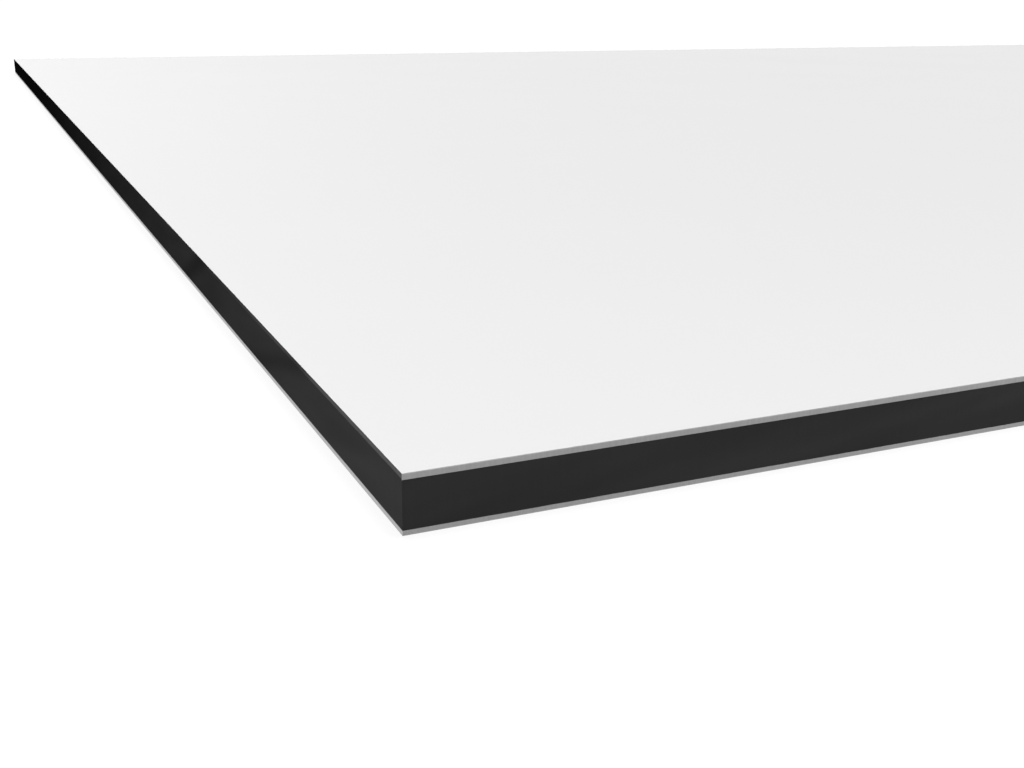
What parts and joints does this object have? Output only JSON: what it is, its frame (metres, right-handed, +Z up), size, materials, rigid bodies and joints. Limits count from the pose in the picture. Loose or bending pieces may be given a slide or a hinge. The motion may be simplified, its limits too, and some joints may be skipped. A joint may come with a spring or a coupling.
{
  "type": "aluminium composite panel",
  "caption": "Flat rectangular sandwich panel, a white-coated aluminium face and a plain aluminium back bonded to a solid black plastic core, sawn square.",
  "frame": {"origin": "centre of the back face, which lies on the floor", "axes": "+X along the panel's length, +Y across its width, +Z up, out of the white face"},
  "size_m": [0.5, 0.25, 0.003],
  "materials": {
    "coated_face": "satin",
    "core": "matte",
    "plain_back": "satin"
  },
  "bodies": {
    "root": {"face_skin": "coated_face", "core": "core", "back_skin": "plain_back"}
  },
  "joints": []
}
